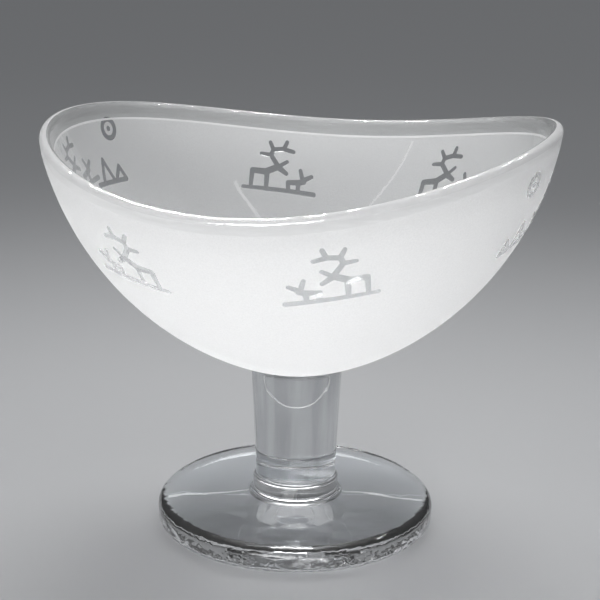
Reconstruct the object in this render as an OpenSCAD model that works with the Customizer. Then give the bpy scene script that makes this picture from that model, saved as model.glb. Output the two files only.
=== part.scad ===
// Footed glass bowl: a blown bowl with a waved rim on a solid stem and a thick round foot.
// Millimetres, +Z up. The origin is the middle of the foot's underside, on the table.

/* [Bowl] */
// Height of the rim above the table, halfway between the wave's high and low points
rim_h = 132; // [124:1:142]
// Outside diameter of the wall at that height
rim_d = 167; // [155:1:180]
// Radius of the arc that the outside of the wall follows from the stem to the rim
wall_arc = 102; // [95:1:130]
// Rise of the wave above that height, and its fall below it
wave = 7; // [0:0.5:10]
// Direction of one of the wave's two high points
wave_turn = 165; // [0:5:180]
// Extra height of the rim on its higher side
lean = 1.6; // [0:0.2:3]
// Direction of that higher side
lean_turn = 13; // [0:1:360]
// Thickness of the wall at the rim
rim_t = 3.6; // [2.4:0.2:5]
// Thickness of the glass in the middle of the floor
floor_t = 9; // [6:0.5:14]
// Height of the band below the rim where the outside was ground
band_h = 5; // [4:0.5:8]
// Lean of that band from upright
band_lean = 7; // [0:1:12]

/* [Figures] */
// Height of the herds' baseline below the rim; each herd's own place differs a little
herd_drop = 27.6; // [25:0.2:32]
// Height of the camps' baseline below the rim; the second camp hangs lower than this
camp_drop = 27.9; // [25:0.1:32]
// Height of the suns' middle below the rim; the second sun hangs lower than this
sun_drop = 10.4; // [9.5:0.1:14]
// Size of the figures, as a multiple of the size that they are drawn in
figure_scale = 1; // [0.7:0.05:1.1]
// How far the clear figures stand out of the sandblasted glass around them
relief = 0.3; // [0.1:0.1:0.6]

/* [Stem] */
// Height of the joint between the bowl and the stem above the table
seat_h = 56; // [46:1:64]
// Diameter of the stem where it meets the bowl
stem_top_d = 30.8; // [24:0.2:38]
// Diameter of the stem just above the collar
stem_low_d = 27.2; // [22:0.2:32]
// Height of the joint between the stem and the collar above the table
collar_h = 16; // [14:0.5:24]
// Rounding of the stem's lower end
stem_round = 0.8; // [0.4:0.1:1.5]

/* [Foot] */
// Diameter of the foot
foot_d = 95; // [80:1:110]
// Thickness of the foot at its edge
foot_t = 8.5; // [7:0.5:10]
// Rise of the foot's top from its edge to the collar
foot_rise = 1.4; // [0.5:0.1:2]
// Rounding of the foot's upper edge
foot_top_round = 3.5; // [2:0.5:4]
// Rounding of the foot's lower edge
foot_low_round = 2; // [1:0.5:2.5]
// Diameter of the collar under the stem
collar_d = 29.2; // [28:0.2:34]
// Rounding of the collar's shoulder
collar_round = 1.6; // [1:0.1:2]
// Fillet between the collar and the foot's top
collar_fillet = 2.4; // [1:0.1:3]

/* [Hidden] */

// Smoothness of the bowl: directions around it, and steps along each stretch of its section
around = 96;
seat_steps = 3;
wall_steps = 12;
lip_steps = 7;
inside_steps = 12;
round_steps = 6;

rim_r = rim_d / 2;
stem_r = stem_top_d / 2;
stem_low_r = stem_low_d / 2;
foot_r = foot_d / 2;
collar_r = collar_d / 2;
lip_r = rim_t / 2;

// Centre of the wall's arc, which runs through the stem's edge and the rim
wall_from = [stem_r, seat_h];
wall_to = [rim_r, rim_h];
wall_chord = norm(wall_to - wall_from);
wall_along = (wall_to - wall_from) / wall_chord;
wall_middle = (wall_from + wall_to) / 2
    + sqrt(pow(wall_arc, 2) - pow(wall_chord / 2, 2)) * [-wall_along[1], wall_along[0]];

// Points along an arc, without its first one
function arc_points(centre, radius, from, to, steps) =
    [for (i = [1:steps]) let (t = from + (to - from) * i / steps) centre + radius * [cos(t), sin(t)]];

// Direction of a point seen from the middle of an arc
function direction(centre, point) = atan2(point[1] - centre[1], point[0] - centre[0]);

// Outside radius of the wall at a height
function outside_r(z) = wall_middle[0] + sqrt(pow(wall_arc, 2) - pow(z - wall_middle[1], 2));

// The bottom of the bowl, where the arc reaches the axis, and the floor inside it
bottom_z = wall_middle[1] - sqrt(pow(wall_arc, 2) - pow(wall_middle[0], 2));
floor_z = bottom_z + floor_t;
bottom_turn = direction(wall_middle, [0, bottom_z]);
seat_turn = direction(wall_middle, wall_from);

// The round bottom of the bowl, from its lowest point to the stem's edge
seat_points = arc_points(wall_middle, wall_arc, bottom_turn, seat_turn, seat_steps);

// Height of the rim in a direction
function rim_z(turn) = rim_h + wave * cos(2 * (turn - wave_turn)) + lean * cos(turn - lean_turn);

// Outside of the bowl in one direction: the arc up to the ground band, and the band's upper edge
function outside_points(top) =
    let (crease = [outside_r(top - band_h), top - band_h],
         band_top_z = top - lip_r * (1 + sin(band_lean)),
         band_top = crease + (band_top_z - crease[1]) * [tan(band_lean), 1])
    concat(arc_points(wall_middle, wall_arc, seat_turn, direction(wall_middle, crease), wall_steps),
           [band_top]);

// The rounded lip, from the band's upper edge over the top to the inside
function lip_points(band_top) =
    arc_points(band_top + lip_r * [-cos(band_lean), sin(band_lean)], lip_r,
               -band_lean, 180 - 2 * band_lean, lip_steps);

// Inside of the bowl in one direction: one arc from the lip down to the floor, whose middle lies
// nearer to the axis than that of the outside, so that the wall thickens towards the floor
inside_share = 0.75;
inside_x = wall_middle[0] * inside_share;
function inside_points(lip_end) =
    let (middle_z = (pow(lip_end[0] - inside_x, 2) - pow(inside_x, 2) + pow(lip_end[1], 2)
                     - pow(floor_z, 2)) / (2 * (lip_end[1] - floor_z)),
         middle = [inside_x, middle_z],
         points = arc_points(middle, norm([inside_x, middle_z - floor_z]),
                             direction(middle, lip_end), direction(middle, [0, floor_z]), inside_steps))
    [for (i = [0:inside_steps - 2]) points[i]];

// The bowl's whole section in one direction, without the two points on the axis
function section(turn) =
    let (outside = outside_points(rim_z(turn)),
         lip = lip_points(outside[len(outside) - 1]),
         inside = inside_points(lip[len(lip) - 1]))
    concat(seat_points, outside, lip, inside);

// The bowl, lofted through its sections all the way round
module bowl_glass() {
    sections = [for (i = [0:around - 1]) section(360 * i / around)];
    rings = len(sections[0]);
    points = concat(
        [for (i = [0:around - 1]) for (p = sections[i])
            [p[0] * cos(360 * i / around), p[0] * sin(360 * i / around), p[1]]],
        [[0, 0, bottom_z], [0, 0, floor_z]]);
    under = around * rings;
    sides = [for (i = [0:around - 1]) for (k = [0:rings - 2])
        let (a = i * rings + k, b = ((i + 1) % around) * rings + k)
        each [[a, a + 1, b], [b, a + 1, b + 1]]];
    caps = [for (i = [0:around - 1])
        let (a = i * rings, b = ((i + 1) % around) * rings)
        each [[under, a, b], [under + 1, b + rings - 1, a + rings - 1]]];
    polyhedron(points = points, faces = concat(sides, caps));
}

// Outline of the stem: its lower end, its taper, and the hollow that the bowl's bottom sits in
module stem_outline() {
    polygon(concat(
        [[0, collar_h], [stem_low_r - stem_round, collar_h]],
        arc_points([stem_low_r - stem_round, collar_h + stem_round], stem_round, -90, 0, round_steps),
        [for (i = [seat_steps - 1:-1:0]) seat_points[i]],
        [[0, bottom_z]]));
}

// Slope of the foot's top and the points where its roundings meet it
foot_slope = atan(foot_rise / (foot_r - collar_r));
foot_edge_middle = [foot_r - foot_top_round, foot_t - foot_top_round];
foot_edge_top = foot_edge_middle + foot_top_round * [sin(foot_slope), cos(foot_slope)];
function foot_top_z(x) = foot_edge_top[1] + (foot_edge_top[0] - x) * tan(foot_slope);
fillet_x = collar_r + collar_fillet;
fillet_middle = [fillet_x, foot_top_z(fillet_x) + collar_fillet / cos(foot_slope)];

// Outline of the foot with the collar that carries the stem
module foot_outline() {
    polygon(concat(
        [[0, 0], [foot_r - foot_low_round, 0]],
        arc_points([foot_r - foot_low_round, foot_low_round], foot_low_round, -90, 0, round_steps),
        [[foot_r, foot_edge_middle[1]]],
        arc_points(foot_edge_middle, foot_top_round, 0, 90 - foot_slope, round_steps),
        [fillet_middle - collar_fillet * [sin(foot_slope), cos(foot_slope)]],
        arc_points(fillet_middle, collar_fillet, 270 - foot_slope, 180, round_steps),
        [[collar_r, collar_h - collar_round]],
        arc_points([collar_r - collar_round, collar_h - collar_round], collar_round, 0, 90, round_steps),
        [[0, collar_h]]));
}

// The figures are drawn in millimetres, walking to the right, with the baseline at zero.
// A stroke joins the points of its list, which hold their place and the stroke's width there.

// A reindeer: hind leg, back, neck and head, then its front leg, ear and antlers
deer = [
    [[-11, 0.5, 1.5], [-10.7, 6, 1.9], [-5.5, 5.9, 2.3], [-1, 8, 2.3], [2.4, 6, 1.5]],
    [[-5, 0, 1.6], [-5, 5.5, 2]],
    [[-0.5, 8.3, 1.5], [2.4, 10.2, 1.3]],
    [[-1, 8.3, 1.9], [-4, 12, 1.7], [-3.2, 14, 1.7], [0.5, 14.6, 1.7], [4.5, 14, 1.5]],
    [[-4, 12, 1.6], [-7.8, 12.2, 1.2]],
    [[-3.2, 14, 1.7], [-4.6, 16.5, 1.4]],
    [[0.8, 14.6, 1.7], [1.8, 17.2, 1.5]]];

// Its calf: hind leg, back and head, then its front leg and ears
calf = [
    [[3.5, 0, 1.6], [3.3, 3, 1.7], [7.3, 3.4, 2], [9.2, 4, 2]],
    [[7.1, 0, 1.6], [7.3, 3.4, 1.7]],
    [[8.8, 4.3, 1.8], [7.7, 7.7, 1.4]],
    [[8.8, 4.3, 1.8], [12, 6.1, 1.4]]];

// Two tents: their sloping sides
tents = [
    [[-4.3, 0.5, 1.7], [-0.8, 8, 1.5], [2.2, 0.5, 1.7]],
    [[3.8, 0.5, 1.7], [7.2, 4.8, 1.5], [8.9, 0.3, 1.7]]];

herd_ground = [[-14, 0, 1.2], [-5, 0, 1.5], [13.2, 0, 1.7]];
camp_ground = [[-8.5, 0, 1.7], [8.5, 0, 1.7]];

// The sun above a camp is a ring around a dot
sun_outer = 4.2;
sun_inner = 2.4;
sun_dot = 0.95;

// Places of the figures, set by hand one by one: direction, how much lower than usual, extra tilt
herd_places = [[163.4, -0.5, -3.9], [95.6, -0.7, 1.7], [42.5, 0.4, -3],
               [-12, 4, 0], [-81.3, 0.1, 0.4], [-133.7, 0.4, 1.7]];
camp_places = [[149.7, 0, -1.5], [-27.5, 5.5, 5.5]];
sun_places = [[145.2, -0.5, 0], [-30.4, 2, 0]];

// One end or bend of a stroke
module stroke_point(point) {
    translate([point[0], point[1]]) circle(d = point[2], $fn = 8);
}

// One stroke through the points of a list
module stroke(points) {
    for (i = [0:len(points) - 2])
        hull() {
            stroke_point(points[i]);
            stroke_point(points[i + 1]);
        }
}

module herd() {
    for (points = concat(deer, calf, [herd_ground])) stroke(points);
}

module camp() {
    for (points = concat(tents, [camp_ground])) stroke(points);
}

module sun() {
    difference() {
        circle(r = sun_outer, $fn = 20);
        circle(r = sun_inner, $fn = 16);
    }
    circle(r = sun_dot, $fn = 10);
}

// Slope of the rim in a direction, in degrees
function rim_slope(turn) =
    atan((-2 * wave * sin(2 * (turn - wave_turn)) - lean * sin(turn - lean_turn)) / rim_r);

// A drawing pushed outwards through the wall at a place, below the rim and tilted like it
module through_wall(place, drop) {
    rotate([0, 0, place[0]])
        translate([rim_r / 2, 0, rim_z(place[0]) - drop - place[1]])
            rotate([90, 0, 90])
                rotate(rim_slope(place[0]) + place[2])
                    mirror([1, 0, 0])
                        scale(figure_scale) linear_extrude(rim_r) children();
}

// A skin around the wall that stands out of it by the relief and reaches a little into it
skin_depth = 1;
skin_top = rim_h + wave + lean;
module figure_skin() {
    skin_turn = direction(wall_middle, [outside_r(skin_top), skin_top]);
    rotate_extrude($fn = around)
        polygon(concat(
            arc_points(wall_middle, wall_arc + relief, seat_turn, skin_turn, wall_steps),
            arc_points(wall_middle, wall_arc - skin_depth, skin_turn, seat_turn, wall_steps)));
}

// All the figures, standing out of the wall
module figures() {
    intersection() {
        figure_skin();
        union() {
            for (place = herd_places) through_wall(place, herd_drop) herd();
            for (place = camp_places) through_wall(place, camp_drop) camp();
            for (place = sun_places) through_wall(place, sun_drop) sun();
        }
    }
}

module bowl() {
    color("gainsboro") {
        bowl_glass();
        figures();
    }
}

module stem() {
    color("lightcyan") rotate_extrude() stem_outline();
}

module foot() {
    color("paleturquoise") rotate_extrude() foot_outline();
}

bowl();
stem();
foot();
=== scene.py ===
# %% [markdown]
# A footed glass bowl, rebuilt as a lesson. The real one is hand-made: a blown bowl with a waved rim, sandblasted
# white on the outside around clear figures, on a solid clear stem and a thick round foot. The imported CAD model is
# the fixed frame: it gives every size, and the glass pieces made here stand in for its nodes one for one.

# %% Load the frame
import math

import bpy
from mathutils import Matrix, Vector


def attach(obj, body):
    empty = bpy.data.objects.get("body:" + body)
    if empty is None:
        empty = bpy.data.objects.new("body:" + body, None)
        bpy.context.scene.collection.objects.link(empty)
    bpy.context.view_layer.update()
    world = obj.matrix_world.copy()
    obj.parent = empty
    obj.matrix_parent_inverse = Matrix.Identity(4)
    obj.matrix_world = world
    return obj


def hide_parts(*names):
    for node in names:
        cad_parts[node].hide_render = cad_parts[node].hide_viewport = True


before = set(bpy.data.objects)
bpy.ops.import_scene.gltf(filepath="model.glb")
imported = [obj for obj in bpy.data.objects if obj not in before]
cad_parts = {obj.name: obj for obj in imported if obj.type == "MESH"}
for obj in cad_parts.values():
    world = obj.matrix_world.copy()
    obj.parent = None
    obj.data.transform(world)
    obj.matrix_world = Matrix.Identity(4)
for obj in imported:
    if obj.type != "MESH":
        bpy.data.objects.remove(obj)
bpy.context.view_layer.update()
MM = 0.001

# %% [markdown]
# The camera comes first, because everything is judged through it. Its place was found by fitting the outlines of the
# rim, the wall, the stem and the foot: a lens of about 92 mm, half a metre away and 225 mm above the table, looking
# down by 16.7 degrees. A camera can be aimed with a constraint, but three angles and a matrix say exactly what was
# measured and stay the same in every run.

# %% Camera
SENSOR, FOCAL_PX, PICTURE_PX = 36.0, 1526.9, 600
CAMERA_AT, NEAREST = (0, -0.491, 0.2249), 0.01
PITCH, YAW, ROLL = (math.radians(a) for a in (16.68, 0.10, 0.68))

forward = Vector((math.sin(YAW) * math.cos(PITCH), math.cos(YAW) * math.cos(PITCH), -math.sin(PITCH)))
level_right = Vector((math.cos(YAW), -math.sin(YAW), 0))
level_up = level_right.cross(forward)
right = level_right * math.cos(ROLL) + level_up * math.sin(ROLL)
up = level_up * math.cos(ROLL) - level_right * math.sin(ROLL)

bpy.ops.object.camera_add(location=CAMERA_AT)
camera = bpy.context.object
camera.name = "camera"
camera.matrix_world = Matrix.Translation(camera.location) @ Matrix((right, up, -forward)).transposed().to_4x4()
camera.data.sensor_width = SENSOR
camera.data.lens = FOCAL_PX / PICTURE_PX * SENSOR
camera.data.clip_start = NEAREST
bpy.context.scene.camera = camera
print("lens %.1f mm" % camera.data.lens)

# %% [markdown]
# So a few small helpers do what the mouse does in the viewport: pick one object alone, add a modifier to it and apply
# it, join or cut two pieces, and smooth a piece but for its sharp edges. The Manifold solver is chosen because every
# piece here is closed, it is quick, and it keeps the materials.


# %% Helpers for picking
def pick(piece):
    if bpy.context.object and bpy.context.object.mode != "OBJECT":
        bpy.ops.object.mode_set(mode="OBJECT")
    bpy.ops.object.select_all(action="DESELECT")
    piece.select_set(True)
    bpy.context.view_layer.objects.active = piece


def apply_modifier(piece, kind, **settings):
    pick(piece)
    modifier = piece.modifiers.new(kind.lower(), kind)
    for name, value in settings.items():
        setattr(modifier, name, value)
    bpy.ops.object.modifier_apply(modifier=modifier.name)


def boolean(piece, other, operation):
    """Joins, cuts or intersects piece with other, and takes other away."""
    apply_modifier(piece, "BOOLEAN", object=other, operation=operation, solver="MANIFOLD")
    bpy.data.objects.remove(other)


def smooth(piece, sharp_from=30):
    """Smooth shading; an edge that turns by more than sharp_from degrees stays sharp."""
    pick(piece)
    bpy.ops.object.shade_smooth_by_angle(angle=math.radians(sharp_from))


print("selected now:", [chosen.name for chosen in bpy.context.selected_objects])

# %% [markdown]
# Every glass piece here is round, so each starts as a single point that is extruded along half of its section and
# then spun round the axis, as a potter's or a glass blower's template would sweep it. A cylinder with loop cuts would
# also do, but an extruded outline keeps every measured radius and height exact.


# %% Extrude an outline and spin it
SAME_POINT = 0.01 * MM


def spin_outline(name, outline, around):
    """A closed piece from an outline in millimetres, (radius, height) from the axis to the axis."""
    bpy.ops.object.select_all(action="DESELECT")
    bpy.ops.mesh.primitive_plane_add(size=MM)
    piece = bpy.context.object
    piece.name = name
    bpy.ops.object.mode_set(mode="EDIT")
    bpy.ops.mesh.select_all(action="SELECT")
    bpy.ops.mesh.merge(type="CENTER")
    bpy.ops.transform.translate(value=(outline[0][0] * MM, 0, outline[0][1] * MM))
    for last, point in zip(outline, outline[1:]):
        step = ((point[0] - last[0]) * MM, 0, (point[1] - last[1]) * MM)
        bpy.ops.mesh.extrude_region_move(TRANSFORM_OT_translate={"value": step})
    bpy.ops.mesh.select_all(action="SELECT")
    bpy.ops.mesh.spin(steps=around, angle=2 * math.pi, center=(0, 0, 0), axis=(0, 0, 1), use_auto_merge=True)
    bpy.ops.mesh.select_all(action="SELECT")
    bpy.ops.mesh.remove_doubles(threshold=SAME_POINT)
    bpy.ops.mesh.normals_make_consistent(inside=False)
    bpy.ops.object.mode_set(mode="OBJECT")
    print(name, "spun:", len(piece.data.polygons), "faces")
    return piece


# %% [markdown]
# The sections are made of arcs. A helper gives the points along an arc, and the sizes below are the model's own, in
# millimetres: the outside of the wall is one arc from the stem's edge to the rim. The rows say how many points each
# stretch of the section gets, and the finishes go on by the same rows later.


# %% Arcs and the bowl's sizes
def arc(middle, radius, start, end, steps):
    """Points along an arc, without its first one; angles in degrees."""
    turns = (math.radians(start + (end - start) * i / steps) for i in range(1, steps + 1))
    return [(middle[0] + radius * math.cos(t), middle[1] + radius * math.sin(t)) for t in turns]


def bearing(middle, point):
    return math.degrees(math.atan2(point[1] - middle[1], point[0] - middle[0]))


RIM_H, RIM_R, WALL_ARC = 132, 83.5, 102
WAVE, WAVE_TURN, LEAN, LEAN_TURN = 7, 165, 1.6, 13
LIP_R, FLOOR_T, BAND_H, BAND_LEAN = 1.8, 9, 5, 7
INNER_BAND, INNER_CREASE = 5.4, 0.7
STEM_TOP_R, SEAT_H = 15.4, 56
INSIDE_SHARE = 0.75
BAND_SHARES = (0.1, 0.4, 0.7, 1)
SEAT_ROWS, WALL_ROWS, BAND_ROWS, OUTER_LIP_ROWS = 6, 36, len(BAND_SHARES), 9
INNER_LIP_ROWS, INNER_BAND_ROWS, INSIDE_ROWS = 5, 3, 38
AROUND = 192

chord = math.hypot(RIM_R - STEM_TOP_R, RIM_H - SEAT_H)
along = ((RIM_R - STEM_TOP_R) / chord, (RIM_H - SEAT_H) / chord)
inwards = math.sqrt(WALL_ARC**2 - (chord / 2) ** 2)
MIDDLE = ((STEM_TOP_R + RIM_R) / 2 - inwards * along[1], (SEAT_H + RIM_H) / 2 + inwards * along[0])
BOTTOM_Z = MIDDLE[1] - math.sqrt(WALL_ARC**2 - MIDDLE[0] ** 2)
FLOOR_Z = BOTTOM_Z + FLOOR_T
INSIDE_X = MIDDLE[0] * INSIDE_SHARE
seat = arc(MIDDLE, WALL_ARC, bearing(MIDDLE, (0, BOTTOM_Z)), bearing(MIDDLE, (STEM_TOP_R, SEAT_H)), SEAT_ROWS)
print("middle of the wall's arc: %.2f, %.2f mm; floor at %.2f mm" % (*MIDDLE, FLOOR_Z))

# %% [markdown]
# The rim of the real bowl rises and falls twice on its way round, as a saddle does, and it is a little higher on
# one side. A lattice or a bend would also wave it, but would stretch the thick wall. Here one function gives the
# section for any height of the rim: the arc of the wall, the band under the rim that leans in, the rounded lip, a
# second band and its narrow crease on the inside, and the inside down to the floor.


# %% The section of the bowl in one direction
def outside_r(z):
    return MIDDLE[0] + math.sqrt(WALL_ARC**2 - (z - MIDDLE[1]) ** 2)


def rim_z(turn):
    return (RIM_H + WAVE * math.cos(math.radians(2 * (turn - WAVE_TURN)))
            + LEAN * math.cos(math.radians(turn - LEAN_TURN)))


def bowl_section(top):
    """Outline of the bowl where its rim is at height top, from the lowest point to the floor inside."""
    lean = math.radians(BAND_LEAN)
    crease = (outside_r(top - BAND_H), top - BAND_H)
    wall = arc(MIDDLE, WALL_ARC, bearing(MIDDLE, seat[-1]), bearing(MIDDLE, crease), WALL_ROWS)
    rise = top - LIP_R * (1 + math.sin(lean)) - crease[1]
    band = [(crease[0] + rise * share * math.tan(lean), crease[1] + rise * share) for share in BAND_SHARES]
    lip_middle = (band[-1][0] - LIP_R * math.cos(lean), band[-1][1] + LIP_R * math.sin(lean))
    lip = arc(lip_middle, LIP_R, -BAND_LEAN, 180 - 2 * BAND_LEAN, OUTER_LIP_ROWS + INNER_LIP_ROWS)
    end = lip[-1]
    middle_z = ((end[0] - INSIDE_X) ** 2 - INSIDE_X**2 + end[1] ** 2 - FLOOR_Z**2) / (2 * (end[1] - FLOOR_Z))
    middle = (INSIDE_X, middle_z)
    radius = math.hypot(INSIDE_X, middle_z - FLOOR_Z)
    creases = [(INSIDE_X + math.sqrt(radius**2 - (z - middle_z) ** 2), z)
               for z in (top - INNER_BAND, top - INNER_BAND - INNER_CREASE)]
    inner_band = arc(middle, radius, bearing(middle, end), bearing(middle, creases[0]), INNER_BAND_ROWS)
    inside = arc(middle, radius, bearing(middle, creases[1]), bearing(middle, (0, FLOOR_Z)), INSIDE_ROWS)
    return [(0, BOTTOM_Z)] + seat + wall + band + lip + inner_band + creases[1:] + inside[:-1] + [(0, FLOOR_Z)]


print("points in a section:", len(bowl_section(RIM_H)))

# %% [markdown]
# The glass blower spins a round bowl first, and swings it while it is hot until its rim waves. The same is done here:
# the bowl is spun with a level rim, and then each column of points is moved to the section of its own direction. A
# loft through many separate sections would give the same wall, but a spun piece is closed and even from the start.
# The row that each point belongs to is kept, because the finishes go on by row.

# %% Spin the bowl and wave its rim
ON_AXIS = 0.01
level_section = bowl_section(RIM_H)
bowl = spin_outline("bowl_glass", level_section, AROUND)
sections, row_of = {}, []
for vertex in bowl.data.vertices:
    x, y, z = (c / MM for c in vertex.co)
    radius = math.hypot(x, y)
    row = min(range(len(level_section)),
              key=lambda k: (level_section[k][0] - radius) ** 2 + (level_section[k][1] - z) ** 2)
    row_of.append(row)
    if radius < ON_AXIS:
        continue
    turn = round(math.degrees(math.atan2(y, x)) * AROUND / 360) * 360 / AROUND
    if turn not in sections:
        sections[turn] = bowl_section(rim_z(turn))
    new_radius, new_z = sections[turn][row]
    vertex.co = (new_radius * math.cos(math.radians(turn)) * MM,
                 new_radius * math.sin(math.radians(turn)) * MM, new_z * MM)
print("rim from %.1f to %.1f mm" % (min(map(rim_z, sections)), max(map(rim_z, sections))))

# %% [markdown]
# Figures in an old rock-carving manner run round the outside: reindeer with a calf, and two camps with tents and a
# sun. A mask keeps them clear while the glass around them is blasted, so they stay a fraction of a millimetre proud.
# They could be painted with a mask in the material, but a raised edge catches the light as the real one does, so
# they are solids. Each stroke is two cylinders and the hull around them, and a figure's strokes are joined one by
# one.


# %% Draw a figure from strokes
STROKE_SIDES, DISC_SIDES = 16, 40
PUSHED_THROUGH, PUSHED_FROM = 60 * MM, 75 * MM
ALONG_X = (0, math.pi / 2, 0)


def stroke(start, end):
    """One stroke of (across, up, width) to the next, pushed through the wall along X."""
    bpy.ops.object.select_all(action="DESELECT")
    for number, (across, height, width) in enumerate((start, end)):
        if number:
            bpy.ops.object.mode_set(mode="EDIT")
        bpy.ops.mesh.primitive_cylinder_add(
            vertices=STROKE_SIDES, radius=width / 2 * MM, depth=PUSHED_THROUGH, rotation=ALONG_X,
            location=(PUSHED_FROM, -across * MM, height * MM))
    bpy.ops.mesh.select_all(action="SELECT")
    bpy.ops.mesh.convex_hull()
    bpy.ops.object.mode_set(mode="OBJECT")
    bpy.ops.object.transform_apply(location=True, rotation=True, scale=True)
    return bpy.context.object


def drawing(name, strokes):
    figure = None
    for points in strokes:
        for start, end in zip(points, points[1:]):
            piece = stroke(start, end)
            if figure is None:
                figure = piece
                figure.name = name
            else:
                boolean(figure, piece, "UNION")
    print(name, "drawn:", len(figure.data.polygons), "faces")
    return figure


HERD = [
    [(-11, 0.5, 1.5), (-10.7, 6, 1.9), (-5.5, 5.9, 2.3), (-1, 8, 2.3), (2.4, 6, 1.5)],
    [(-5, 0, 1.6), (-5, 5.5, 2)],
    [(-0.5, 8.3, 1.5), (2.4, 10.2, 1.3)],
    [(-1, 8.3, 1.9), (-4, 12, 1.7), (-3.2, 14, 1.7), (0.5, 14.6, 1.7), (4.5, 14, 1.5)],
    [(-4, 12, 1.6), (-7.8, 12.2, 1.2)],
    [(-3.2, 14, 1.7), (-4.6, 16.5, 1.4)],
    [(0.8, 14.6, 1.7), (1.8, 17.2, 1.5)],
    [(3.5, 0, 1.6), (3.3, 3, 1.7), (7.3, 3.4, 2), (9.2, 4, 2)],
    [(7.1, 0, 1.6), (7.3, 3.4, 1.7)],
    [(8.8, 4.3, 1.8), (7.7, 7.7, 1.4)],
    [(8.8, 4.3, 1.8), (12, 6.1, 1.4)],
    [(-14, 0, 1.2), (-5, 0, 1.5), (13.2, 0, 1.7)]]
CAMP = [
    [(-4.3, 0.5, 1.7), (-0.8, 8, 1.5), (2.2, 0.5, 1.7)],
    [(3.8, 0.5, 1.7), (7.2, 4.8, 1.5), (8.9, 0.3, 1.7)],
    [(-8.5, 0, 1.7), (8.5, 0, 1.7)]]
herd = drawing("herd", HERD)
camp = drawing("camp", CAMP)

# %% [markdown]
# Over each camp stands the sun, a ring round a dot. A torus would be round in section and would bulge, where the
# real ring is as flat as the strokes, so it is cut from three discs: a large one, less a smaller one, plus the dot.

# %% The sun: a ring round a dot
SUN_OUTER, SUN_INNER, SUN_DOT = 4.2, 2.4, 0.95


def disc(radius):
    bpy.ops.object.select_all(action="DESELECT")
    bpy.ops.mesh.primitive_cylinder_add(
        vertices=DISC_SIDES, radius=radius * MM, depth=PUSHED_THROUGH, rotation=ALONG_X,
        location=(PUSHED_FROM, 0, 0))
    bpy.ops.object.transform_apply(location=True, rotation=True, scale=True)
    return bpy.context.object


sun = disc(SUN_OUTER)
boolean(sun, disc(SUN_INNER), "DIFFERENCE")
boolean(sun, disc(SUN_DOT), "UNION")
print("sun:", len(sun.data.polygons), "faces")

# %% [markdown]
# Each drawing is copied to its places round the bowl, tilted with the rim above it, and cut to a thin skin around the
# wall. Shrinkwrap would bend a flat drawing on to the wall as well, but it leaves no thickness to join. The skin
# stands 0.15 mm proud of the glass and reaches 1 mm into it, so that the join with the bowl is sound. A place is the
# direction in degrees, how far it hangs below the usual line in millimetres, and its own tilt. The places were set
# one by one through the glass, which bends the view of the far ones, so they were moved until they looked right.

# %% Wrap the figures round the wall
RELIEF, SKIN_DEPTH = 0.15, 1.0
SKIN_LOW, SKIN_HIGH, SKIN_STEPS = 90, 142, 40
HERD_DROP, CAMP_DROP, SUN_DROP = 27.6, 27.9, 10.4
HERD_PLACES = [(168.2, -0.8, -3.9), (96.2, 0.3, 1.7), (41.7, 1.2, -3),
               (-12, 4, 0), (-82, 0.4, 0.4), (-134.9, 1, 1.7)]
CAMP_PLACES = [(153.1, 0.3, -1.5), (-27.9, 5, 5.5)]
SUN_PLACES = [(147.4, -0.5, 0), (-31.2, 1.2, 0)]


def rim_slope(turn):
    """Slope of the rim in a direction, in degrees."""
    wave = -2 * WAVE * math.sin(math.radians(2 * (turn - WAVE_TURN)))
    return math.degrees(math.atan((wave - LEAN * math.sin(math.radians(turn - LEAN_TURN))) / RIM_R))


def copy_to(figure, place, drop):
    turn, lower, tilt = place
    piece = figure.copy()
    piece.data = figure.data.copy()
    bpy.context.collection.objects.link(piece)
    pick(piece)
    piece.location = (0, 0, (rim_z(turn) - drop - lower) * MM)
    piece.rotation_euler = (math.radians(rim_slope(turn) + tilt), 0, math.radians(turn))
    bpy.ops.object.transform_apply(location=True, rotation=True, scale=True)
    return piece


skin_start, skin_end = (bearing(MIDDLE, (outside_r(z), z)) for z in (SKIN_LOW, SKIN_HIGH))
outer = arc(MIDDLE, WALL_ARC + RELIEF, skin_start, skin_end, SKIN_STEPS)
inner = arc(MIDDLE, WALL_ARC - SKIN_DEPTH, skin_end, skin_start, SKIN_STEPS)
skin = spin_outline("skin", outer + inner + outer[:1], AROUND)
figures = []
for drawn, places, drop in ((herd, HERD_PLACES, HERD_DROP), (camp, CAMP_PLACES, CAMP_DROP),
                            (sun, SUN_PLACES, SUN_DROP)):
    for place in places:
        figure = copy_to(drawn, place, drop)
        apply_modifier(figure, "BOOLEAN", object=skin, operation="INTERSECT", solver="MANIFOLD")
        figures.append(figure)
    bpy.data.objects.remove(drawn)
bpy.data.objects.remove(skin)
print(len(figures), "figures wrapped")

# %% [markdown]
# Every finish here is soda-lime glass, so the materials share a few helpers: a new empty material, a node with its
# values, a noise that is fixed to the piece, a fade between two colours, a blend of two shaders, and the wires to the
# output. The noise reads Object coordinates, so it stays in the glass when the camera moves. Clear glass casts almost
# no shadow on a real table. Caustics would show that slowly and with much grain, so instead lamp rays may pass
# straight through, tinted, as through a thin pane.


# %% Helpers for materials
GLASS_IOR = 1.52


def grey(tone):
    return (tone, tone, tone, 1)


BLACK, WHITE, OFF_WHITE = grey(0), grey(1), grey(0.95)


def new_material(name):
    material = bpy.data.materials.new(name)
    material.use_nodes = True
    material.node_tree.nodes.clear()
    return material, material.node_tree.nodes, material.node_tree.links


def add(nodes, kind, **values):
    """A node of that kind; values name sockets, with _ for a space."""
    node = nodes.new(kind)
    for name, value in values.items():
        node.inputs[name.replace("_", " ")].default_value = value
    return node


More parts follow.
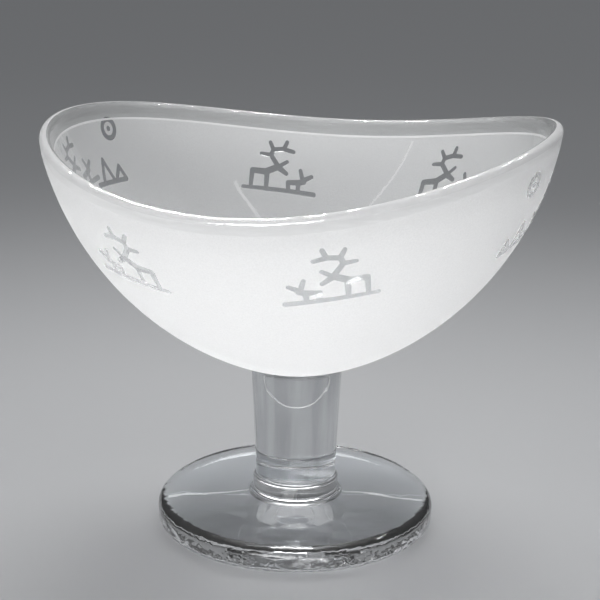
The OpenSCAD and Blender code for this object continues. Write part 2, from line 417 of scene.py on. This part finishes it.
def noise_on_object(nodes, links, size, detail, stretch):
    """Noise of that size in millimetres, fixed to the piece; stretch squeezes it along an axis."""
    place = nodes.new("ShaderNodeTexCoord")
    mapping = add(nodes, "ShaderNodeMapping", Scale=stretch)
    noise = add(nodes, "ShaderNodeTexNoise", Scale=1 / (size * MM), Detail=detail)
    links.new(place.outputs["Object"], mapping.inputs["Vector"])
    links.new(mapping.outputs["Vector"], noise.inputs["Vector"])
    return noise


def fade(nodes, links, driver, start, end, dark=BLACK, light=WHITE):
    """A ramp from dark to light where the driver goes from start to end."""
    ramp = nodes.new("ShaderNodeValToRGB")
    low, high = ramp.color_ramp.elements
    low.position, high.position = start, end
    low.color, high.color = dark, light
    links.new(driver, ramp.inputs["Fac"])
    return ramp.outputs["Color"]


def blend(nodes, links, share, first, second):
    """A mix of two shaders; share is how much of the second, as a number or as the socket that gives it."""
    mix = nodes.new("ShaderNodeMixShader")
    if isinstance(share, float):
        mix.inputs["Fac"].default_value = share
    else:
        links.new(share, mix.inputs["Fac"])
    links.new(first.outputs[0], mix.inputs[1])
    links.new(second.outputs[0], mix.inputs[2])
    return mix


def finish(nodes, links, shader, lamps_through=None):
    """Wires a shader to the output; lamps_through is the tint of what lamps send straight through clear glass."""
    output = nodes.new("ShaderNodeOutputMaterial")
    if lamps_through:
        rays = nodes.new("ShaderNodeLightPath")
        pane = add(nodes, "ShaderNodeBsdfTransparent", Color=lamps_through)
        shader = blend(nodes, links, rays.outputs["Is Shadow Ray"], shader, pane)
    links.new(shader.outputs[0], output.inputs["Surface"])


print("index of refraction:", GLASS_IOR)

# %% [markdown]
# Clear glass is the Principled shader with all its weight on transmission. A perfectly smooth one looks like plastic
# from a machine: blown and drawn glass has faint ripples that bend what is seen through it, so each kind gets a weak
# bump of its own width. The inside of the bowl is polished. The lip's inner side and its band are streaky, drawn out
# along the rim, and tinted dark grey as painted shade. The figures are plain, a touch hazy and tinted grey as painted
# shade. The stem is drawn upwards, so its ripple and its darker streaks are long and upright; the streaks are striae
# and also painted light for the bright upright streaks in the stem, and its grey tint is painted shade. The foot is
# the smoothest, tinted grey as painted shade, and its edge is the most uneven, because it was tooled.


# %% Clear glass
RIPPLE_DEPTH, RIPPLE_DETAIL = 1 * MM, 1.5
STREAK_START, STREAK_END = 0.4, 0.6


def glass(name, tint, roughness, ripple, ripple_size, lamps_through, haze=0.0, stretch=(1, 1, 1), streaks=0.0):
    """Clear glass with a faint ripple: how strong it is, and how wide in millimetres. Haze is a white bloom, and
    streaks are how much the ripple darkens the glass."""
    material, nodes, links = new_material(name)
    noise = noise_on_object(nodes, links, ripple_size, RIPPLE_DETAIL, stretch)
    bump = add(nodes, "ShaderNodeBump", Strength=ripple, Distance=RIPPLE_DEPTH)
    shader = add(nodes, "ShaderNodeBsdfPrincipled", Base_Color=tint, Roughness=roughness, IOR=GLASS_IOR,
                 Transmission_Weight=1.0)
    links.new(noise.outputs["Fac"], bump.inputs["Height"])
    links.new(bump.outputs["Normal"], shader.inputs["Normal"])
    if streaks:
        dark = [part - streaks for part in tint[:3]] + [1]
        colour = fade(nodes, links, noise.outputs["Fac"], STREAK_START, STREAK_END, dark, tint)
        links.new(colour, shader.inputs["Base Color"])
    if haze:
        shader = blend(nodes, links, haze, shader, add(nodes, "ShaderNodeBsdfDiffuse", Color=OFF_WHITE))
    finish(nodes, links, shader, lamps_through)
    return material


polished_glass = glass("polished_glass", (0.97, 0.98, 0.98, 1), roughness=0.04, ripple=0.06, ripple_size=12,
                       lamps_through=grey(0.9))
# streaky inner band: its dark grey tint is painted shade that darkens the band above the crease
streaky_glass_painted_shade = glass("streaky_glass_painted_shade", (0.55, 0.56, 0.56, 1), roughness=0.12, ripple=0.25, ripple_size=6,
                      lamps_through=grey(0.65), haze=0.03, stretch=(0.25, 0.25, 4))
# figures: their grey tint is painted shade, darker than the clear glass they are
figure_glass_painted_shade = glass("figure_glass_painted_shade", (0.78, 0.79, 0.8, 1), roughness=0.03, ripple=0.05, ripple_size=4,
                     lamps_through=grey(0.8), haze=0.04)
# stem: its grey tint is painted shade; its upright streaks are striae and also painted light for bright streaks
drawn_glass_painted_shade = glass("drawn_glass_painted_shade", (0.8, 0.815, 0.83, 1), roughness=0.0, ripple=0.2, ripple_size=4,
                    lamps_through=grey(0.7), stretch=(1, 1, 0.08), streaks=0.22)
# foot: its grey tint is painted shade
plain_glass_painted_shade = glass("plain_glass_painted_shade", (0.76, 0.775, 0.79, 1), roughness=0.0, ripple=0.06, ripple_size=14,
                    lamps_through=grey(0.7))
tooled_edge = glass("tooled_edge", (0.85, 0.86, 0.87, 1), roughness=0.03, ripple=0.35, ripple_size=3,
                    lamps_through=grey(0.7), haze=0.04)
print("clear finishes:", [m.name for m in (polished_glass, streaky_glass_painted_shade, figure_glass_painted_shade, drawn_glass_painted_shade, plain_glass_painted_shade,
                                           tooled_edge)])

# %% [markdown]
# Where two pieces were fused hot there is no surface left at all. The pieces could be joined into one mesh, but each
# stands for a node of its own and has to stay closed. So the faces where they meet are fully see-through, and the eye
# runs from one glass into the next.


# %% Fused joint
def fused(name):
    material, nodes, links = new_material(name)
    finish(nodes, links, add(nodes, "ShaderNodeBsdfTransparent", Color=WHITE))
    return material


fused_joint = fused("fused_joint")
print("joint finish:", fused_joint.name)

# %% [markdown]
# A gather is glass that was dipped over glass. The two are one body now, but a skin between them still shows where
# the eye runs along it. Layer Weight tells the shader how far a face is turned away, so this finish is see-through
# when it is faced and bright at a glance.


# %% Skin between two melts
GLANCE_START, GLANCE_END = 0.6, 0.95


def skin_finish(name):
    material, nodes, links = new_material(name)
    glance = add(nodes, "ShaderNodeLayerWeight", Blend=0.5)
    turned = fade(nodes, links, glance.outputs["Facing"], GLANCE_START, GLANCE_END)
    clear = add(nodes, "ShaderNodeBsdfTransparent", Color=WHITE)
    bright = add(nodes, "ShaderNodeBsdfTranslucent", Color=WHITE)
    finish(nodes, links, blend(nodes, links, turned, clear, bright))
    return material


gather_skin = skin_finish("gather_skin")
print("gather finish:", gather_skin.name)

# %% [markdown]
# Sandblasting covers the glass with tiny pits. Rough glass alone would be too dark and too clear, because the pits
# scatter light both back and through and most of it comes out white, so a Diffuse and a Translucent share stand for
# that. A fine grain speckles it. The band under the rim is less covered, with a grain drawn out along the rim. The
# crease inside the rim is a narrow, fully white line, a painted highlight where the curve of the glass catches the
# light. The lip was melted smooth in a flame and is fully white, painted light for the brightness that light bent
# through its clear glass gives, under a wet shine, which comes from a small Glossy share.


# %% Sandblasted glass
GRAIN_DEPTH, GRAIN_DETAIL = 0.4 * MM, 2
SPECK_START, SPECK_END = 0.3, 0.7
WET_ROUGHNESS = 0.07


def frosted(name, white, share, through_share, roughness=0.5, relief=0.25, grain_size=0.5, stretch=(1, 1, 1),
            gloss=0.0, lamps_through=None, speckle=0.0):
    """Rough glass with a share of white scatter, part of it back and part of it through; gloss is a wet shine."""
    material, nodes, links = new_material(name)
    grain = noise_on_object(nodes, links, grain_size, GRAIN_DETAIL, stretch)
    bump = add(nodes, "ShaderNodeBump", Strength=relief, Distance=GRAIN_DEPTH * grain_size)
    rough = add(nodes, "ShaderNodeBsdfPrincipled", Base_Color=white, Roughness=roughness, IOR=GLASS_IOR,
                Transmission_Weight=1.0)
    back = add(nodes, "ShaderNodeBsdfDiffuse", Color=white)
    through = add(nodes, "ShaderNodeBsdfTranslucent", Color=white)
    links.new(grain.outputs["Fac"], bump.inputs["Height"])
    if speckle:
        dark = grey(white[0] - speckle)
        colour = fade(nodes, links, grain.outputs["Fac"], SPECK_START, SPECK_END, dark, white)
        for shader in (back, through):
            links.new(colour, shader.inputs["Color"])
    for shader in (rough, back, through):
        links.new(bump.outputs["Normal"], shader.inputs["Normal"])
    surface = blend(nodes, links, share, rough, blend(nodes, links, through_share, back, through))
    if gloss:
        shine = add(nodes, "ShaderNodeBsdfGlossy", Color=WHITE, Roughness=WET_ROUGHNESS)
        links.new(bump.outputs["Normal"], shine.inputs["Normal"])
        surface = blend(nodes, links, gloss, surface, shine)
    finish(nodes, links, surface, lamps_through)
    return material


sandblasted = frosted("sandblasted", OFF_WHITE, share=0.9, through_share=0.45, speckle=0.06)
rim_band = frosted("rim_band", OFF_WHITE, share=0.72, through_share=0.45, roughness=0.3, relief=0.15, grain_size=4,
                   stretch=(0.3, 0.3, 4), speckle=0.03)
# crease: a fully white line, a painted highlight
crease_painted_highlight = frosted("crease_painted_highlight", WHITE, share=1.0, through_share=0.4, lamps_through=grey(0.8))
# lip: fully white, painted light for the brightness of its clear glass, under a real Glossy shine
fire_polished_lip_painted_light = frosted("fire_polished_lip_painted_light", WHITE, share=1.0, through_share=0.5, roughness=0.06, relief=0.35,
                            grain_size=5, gloss=0.17, lamps_through=grey(0.7))
print("white finishes:", [m.name for m in (sandblasted, rim_band, crease_painted_highlight, fire_polished_lip_painted_light)])

# %% [markdown]
# The materials go on before the figures are joined, row by row up the section: the seat on the stem, the blasted
# wall, the band, the white outer side of the lip, its clear inner side with the inner band, the crease and the
# polished inside. Faces could be picked by height, but the rim waves, so rows are surer. The Boolean then brings the
# figures' own clear glass with it.

# %% Finish the bowl
crease_row = SEAT_ROWS + WALL_ROWS
lip_row = crease_row + BAND_ROWS + OUTER_LIP_ROWS
inner_crease_row = lip_row + INNER_LIP_ROWS + INNER_BAND_ROWS
finishes = [(SEAT_ROWS, fused_joint), (crease_row, sandblasted), (crease_row + BAND_ROWS, rim_band),
            (lip_row, fire_polished_lip_painted_light), (inner_crease_row, streaky_glass_painted_shade),
            (inner_crease_row + 1, crease_painted_highlight), (len(level_section), polished_glass)]
for end, material in finishes:
    bowl.data.materials.append(material)
for face in bowl.data.polygons:
    row = max(row_of[corner] for corner in face.vertices)
    face.material_index = next(k for k, (end, material) in enumerate(finishes) if row <= end)
for figure in figures:
    figure.data.materials.clear()
    figure.data.materials.append(figure_glass_painted_shade)
    boolean(bowl, figure, "UNION")
smooth(bowl)
print("bowl:", len(bowl.data.polygons), "faces", [m.name for m in bowl.data.materials])

# %% [markdown]
# The Boolean leaves long thin faces round each figure, and smooth shading across them can show as faint dents. A
# remesh would even them out and lose the crisp figures. The true direction of the wall is known, though: it is the
# arc's own. So each corner that lies on the arc is told to shade as the arc does, and the mesh stays as it is.

# %% Shade the outside as one arc
OFF_ARC, FACES_OUT, BY_THE_AXIS = 0.04, 0.95, 1
mesh = bowl.data
shading = [corner.vector.copy() for corner in mesh.corner_normals]
steadied = 0
for face in mesh.polygons:
    for corner in face.loop_indices:
        x, y, z = (c / MM for c in mesh.vertices[mesh.loops[corner].vertex_index].co)
        radius = math.hypot(x, y)
        out = Vector((radius - MIDDLE[0], z - MIDDLE[1]))
        off_arc = min(abs(out.length - WALL_ARC), abs(out.length - WALL_ARC - RELIEF))
        if radius < BY_THE_AXIS or off_arc > OFF_ARC:
            continue
        true_normal = Vector((x / radius * out.x, y / radius * out.x, out.y)).normalized()
        if face.normal.dot(true_normal) > FACES_OUT:
            shading[corner] = true_normal
            steadied += 1
mesh.normals_split_custom_set(shading)
print(steadied, "of", len(shading), "corners shaded from the arc")

# %% [markdown]
# The stem is a short thick column of solid glass, slightly wider at its top, that takes the bowl's round bottom in a
# hollow of the same arc. A cylinder could be scaled at one end and cut with a ball, but here the bowl's own seat is
# used backwards as the end of the outline, so the two pieces meet without a gap. Its lower edge is rounded, because
# hot glass has no sharp corner. All sizes are in millimetres, and the steps say how finely each arc is divided.

# %% Stem
STEM_LOW_R, COLLAR_H, STEM_ROUND = 13.6, 16, 0.8
ROUND_STEPS, FLANK_STEPS, STEM_AROUND = 10, 12, 128
foot_of_stem = arc((STEM_LOW_R - STEM_ROUND, COLLAR_H + STEM_ROUND), STEM_ROUND, -90, 0, ROUND_STEPS)
flank = [(STEM_LOW_R + (STEM_TOP_R - STEM_LOW_R) * i / FLANK_STEPS, COLLAR_H + STEM_ROUND
          + (SEAT_H - COLLAR_H - STEM_ROUND) * i / FLANK_STEPS) for i in range(1, FLANK_STEPS)]
stem = spin_outline("stem_glass", [(0, COLLAR_H), (STEM_LOW_R - STEM_ROUND, COLLAR_H)] + foot_of_stem + flank
                    + seat[::-1] + [(0, BOTTOM_Z)], STEM_AROUND)

# %% [markdown]
# The foot is a thick round plate: flat underneath, rounded at its edge, rising gently to a low collar that carries
# the stem. A bevelled cylinder is close, but the fillet at the collar and the soft edge bend the light in bright
# rings, so the outline is built from its own arcs, each starting where the last one ends.

# %% Foot
FOOT_R, FOOT_T, FOOT_RISE, TOP_ROUND, LOW_ROUND = 47.5, 8.5, 1.4, 3.5, 2
COLLAR_R, COLLAR_ROUND, COLLAR_FILLET = 14.6, 1.6, 2.4
TOP_STEPS, FILLET_STEPS, FOOT_AROUND = 14, 12, 192
slope = math.atan(FOOT_RISE / (FOOT_R - COLLAR_R))
edge = (FOOT_R - TOP_ROUND, FOOT_T - TOP_ROUND)
edge_top = (edge[0] + TOP_ROUND * math.sin(slope), edge[1] + TOP_ROUND * math.cos(slope))
fillet_x = COLLAR_R + COLLAR_FILLET
fillet_z = edge_top[1] + (edge_top[0] - fillet_x) * math.tan(slope) + COLLAR_FILLET / math.cos(slope)
foot = spin_outline(
    "foot_glass",
    [(0, 0), (FOOT_R - LOW_ROUND, 0)]
    + arc((FOOT_R - LOW_ROUND, LOW_ROUND), LOW_ROUND, -90, 0, ROUND_STEPS) + [(FOOT_R, edge[1])]
    + arc(edge, TOP_ROUND, 0, 90 - math.degrees(slope), TOP_STEPS)
    + [(fillet_x - COLLAR_FILLET * math.sin(slope), fillet_z - COLLAR_FILLET * math.cos(slope))]
    + arc((fillet_x, fillet_z), COLLAR_FILLET, 270 - math.degrees(slope), 180, FILLET_STEPS)
    + [(COLLAR_R, COLLAR_H - COLLAR_ROUND)]
    + arc((COLLAR_R - COLLAR_ROUND, COLLAR_H - COLLAR_ROUND), COLLAR_ROUND, 0, 90, ROUND_STEPS)
    + [(STEM_LOW_R - STEM_ROUND, COLLAR_H), (0, COLLAR_H)], FOOT_AROUND)

# %% [markdown]
# Where the bowl was set on the stem, the rounded end of its gather still shows inside the clear glass as a bright
# U-shaped line. A line painted on the stem would stay put when the eye moves, so it is a closed drop inside the
# stem, half an egg with a flat top just under the seat, with the skin finish from above.

# %% Gather inside the stem
GATHER_R, GATHER_DEPTH, GATHER_GAP, GATHER_BEVEL = 7.2, 10, 0.4, 0.4
GATHER_STEP, GATHER_AROUND = 6, 64
gather_top = BOTTOM_Z - GATHER_GAP
widest = gather_top - GATHER_BEVEL
gather = spin_outline("gather_skin", [(0, gather_top), (GATHER_R - GATHER_BEVEL, gather_top)] + [
    (GATHER_R * math.cos(math.radians(t)), widest - GATHER_DEPTH * math.sin(math.radians(t)))
    for t in range(0, 90, GATHER_STEP)] + [(0, widest - GATHER_DEPTH)], GATHER_AROUND)
gather.data.materials.append(gather_skin)
smooth(gather, 60)
print("gather: %.1f mm across, %.1f mm deep" % (2 * GATHER_R, GATHER_DEPTH + GATHER_BEVEL))

# %% [markdown]
# The stem gets its drawn glass and the foot its smooth one, both tinted grey as painted shade, with the uneven finish
# only round the foot's edge. Both get the fused finish where they meet each other and the bowl. Faces are picked by
# where they lie: at the collar's height, and up in the hollow under the bowl.

# %% Finish the stem and the foot
BODY, JOINT, EDGE = 0, 1, 2
SAME_HEIGHT, FACES_UP, HOLLOW_FROM = 0.01, 0.1, BOTTOM_Z - 1
for piece, body_glass in ((stem, drawn_glass_painted_shade), (foot, plain_glass_painted_shade)):
    for material in (body_glass, fused_joint, tooled_edge):
        piece.data.materials.append(material)
    smooth(piece)
for face in stem.data.polygons:
    z = face.center.z / MM
    in_hollow = face.normal.z > FACES_UP and z > HOLLOW_FROM
    face.material_index = JOINT if abs(z - COLLAR_H) < SAME_HEIGHT or in_hollow else BODY
for face in foot.data.polygons:
    radius, z = math.hypot(face.center.x, face.center.y) / MM, face.center.z / MM
    on_joint = abs(z - COLLAR_H) < SAME_HEIGHT and radius < STEM_LOW_R - STEM_ROUND
    on_edge = radius > FOOT_R - TOP_ROUND and z > SAME_HEIGHT
    face.material_index = JOINT if on_joint else EDGE if on_edge else BODY
for piece in (stem, foot):
    print(piece.name, "fused faces:", sum(face.material_index == JOINT for face in piece.data.polygons))

# %% [markdown]
# Every piece rides on the one body that the model has, and the bowl, the stem and the foot each hide the CAD node
# they stand for.

# %% Hand the pieces to the frame
for piece, node, slot in ((bowl, "bowl", "frosted_glass"), (stem, "stem", "clear_glass"),
                          (foot, "foot", "foot_glass")):
    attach(piece, "root")
    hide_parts(node)
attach(gather, "root")
print("pieces handed in:", [piece.name for piece in (bowl, stem, foot, gather)])

# %% [markdown]
# The studio starts with a plain pale floor. A curved paper backdrop is usual for glass, but the piece is also looked
# at from all sides, so the floor simply runs out of sight. It lies a hair below the glass, because two surfaces in
# one place would make the foot look black.

# %% Floor
FLOOR_SIZE, FLOOR_DROP = 40, 0.2 * MM
bpy.ops.object.select_all(action="DESELECT")
bpy.ops.mesh.primitive_plane_add(size=FLOOR_SIZE, location=(0, 0, -FLOOR_DROP))
floor = bpy.context.object
floor.name = "floor"
material, nodes, links = new_material("pale_floor")
finish(nodes, links, add(nodes, "ShaderNodeBsdfPrincipled", Base_Color=(0.5, 0.505, 0.515, 1), Roughness=0.9))
floor.data.materials.append(material)
print("floor: %g m across" % floor.dimensions.x)

# %% [markdown]
# Glass shows what stands around it. An even grey world would make it flat, and a bright one would wash it out, so
# the world is a soft fade: as light as the floor at the horizon, dim just above it, and lighter overhead.

# %% World
SKY_TONES = ((0.0, 0.13), (0.12, 0.08), (0.8, 0.32))
COOL_GREEN, COOL_BLUE = 1.02, 1.05
world = bpy.data.worlds.new("studio")
bpy.context.scene.world = world
world.use_nodes = True
nodes, links = world.node_tree.nodes, world.node_tree.links
sky = nodes.new("ShaderNodeTexCoord")
height = nodes.new("ShaderNodeSeparateXYZ")
ramp = nodes.new("ShaderNodeValToRGB")
for position, tone in SKY_TONES:
    stop = ramp.color_ramp.elements.new(position)
    stop.color = (tone, tone * COOL_GREEN, tone * COOL_BLUE, 1)
ramp.color_ramp.elements.remove(ramp.color_ramp.elements[0])
ramp.color_ramp.elements.remove(ramp.color_ramp.elements[-1])
links.new(sky.outputs["Generated"], height.inputs["Vector"])
links.new(height.outputs["Z"], ramp.inputs["Fac"])
links.new(ramp.outputs["Color"], nodes["Background"].inputs["Color"])
nodes["Background"].inputs["Strength"].default_value = 1.0
print("world:", [round(stop.position, 2) for stop in ramp.color_ramp.elements])

# %% [markdown]
# Three soft lamps give the light: one overhead, one from behind that shines through the bowl's wall, and a low one in
# front. The first two are hidden from gloss, because a large square window in every wet surface would hide the
# figures. What sparkles on the rim comes instead from seven small lamps behind, which only gloss can see. Three thin
# tubes draw the fine bright lines in the bowl and on the foot.


# %% Lamps
GLINT_BACK, GLINT_UP, GLINT_SPREAD = 0.45, 0.86, 60
# each glint: how far across it stands, its width and height, and its watts
GLINTS = ((-0.31, 0.06, 0.08, 0.36), (-0.22, 0.02, 0.04, 0.08), (-0.12, 0.045, 0.06, 0.24), (0.12, 0.035, 0.06, 0.16),
          (0.19, 0.02, 0.03, 0.06), (0.34, 0.02, 0.03, 0.06), (0.44, 0.03, 0.04, 0.08))


def lamp(name, place, aim, size, watts, spread=180, shines=True):
    """A softbox; spread is its grid's angle in degrees, and shines says if gloss mirrors it."""
    bpy.ops.object.light_add(type="AREA", location=place)
    light = bpy.context.object
    light.name = name
    light.rotation_euler = (Vector(aim) - Vector(place)).to_track_quat("-Z", "Y").to_euler()
    light.data.shape = "RECTANGLE"
    light.data.size, light.data.size_y = size
    light.data.energy = watts
    light.data.spread = math.radians(spread)
    light.visible_glossy = shines
    return light


lamp("overhead", (0.2, -0.05, 1.0), aim=(0, 0, 0.1), size=(0.7, 0.7), watts=0.26, spread=90, shines=False)
lamp("back_top", (0.05, 0.48, 0.82), aim=(0, 0, 0.08), size=(0.5, 0.4), watts=0.62, spread=60, shines=False)
lamp("front_low", (-0.3, -1.0, 0.26), aim=(0, 0, 0.08), size=(0.8, 0.4), watts=0.84, spread=55)
for number, (across, width, height, watts) in enumerate(GLINTS):
    glint = lamp("glint_%d" % number, (across, GLINT_BACK, GLINT_UP), aim=(0, 0, 0.1), size=(width, height),
                 watts=watts, spread=GLINT_SPREAD)
    glint.visible_diffuse = glint.visible_transmission = glint.visible_camera = False
lamp("tube_front_right", (0.305, -0.24, 0.81), aim=(0, 0, 0.1), size=(0.02, 0.26), watts=0.065)
lamp("tube_front_left", (-0.56, -0.21, 0.68), aim=(0, 0, 0.1), size=(0.012, 0.4), watts=0.068)
lamp("tube_back", (0, 0.85, 0.4), aim=(0, 0, 0.02), size=(0.7, 0.006), watts=0.03)

# %% [markdown]
# Light passes many surfaces on its way through the wall, the stem and the foot, and a ray that runs out of bounces
# comes back black. So the limits are raised. The Standard view shows a colour about as it is written.

# %% Render settings for glass
BOUNCES = 24
scene = bpy.context.scene
scene.view_settings.view_transform = "Standard"
scene.cycles.max_bounces = BOUNCES
scene.cycles.transmission_bounces = BOUNCES
scene.cycles.transparent_max_bounces = BOUNCES
print("bounces:", scene.cycles.max_bounces)
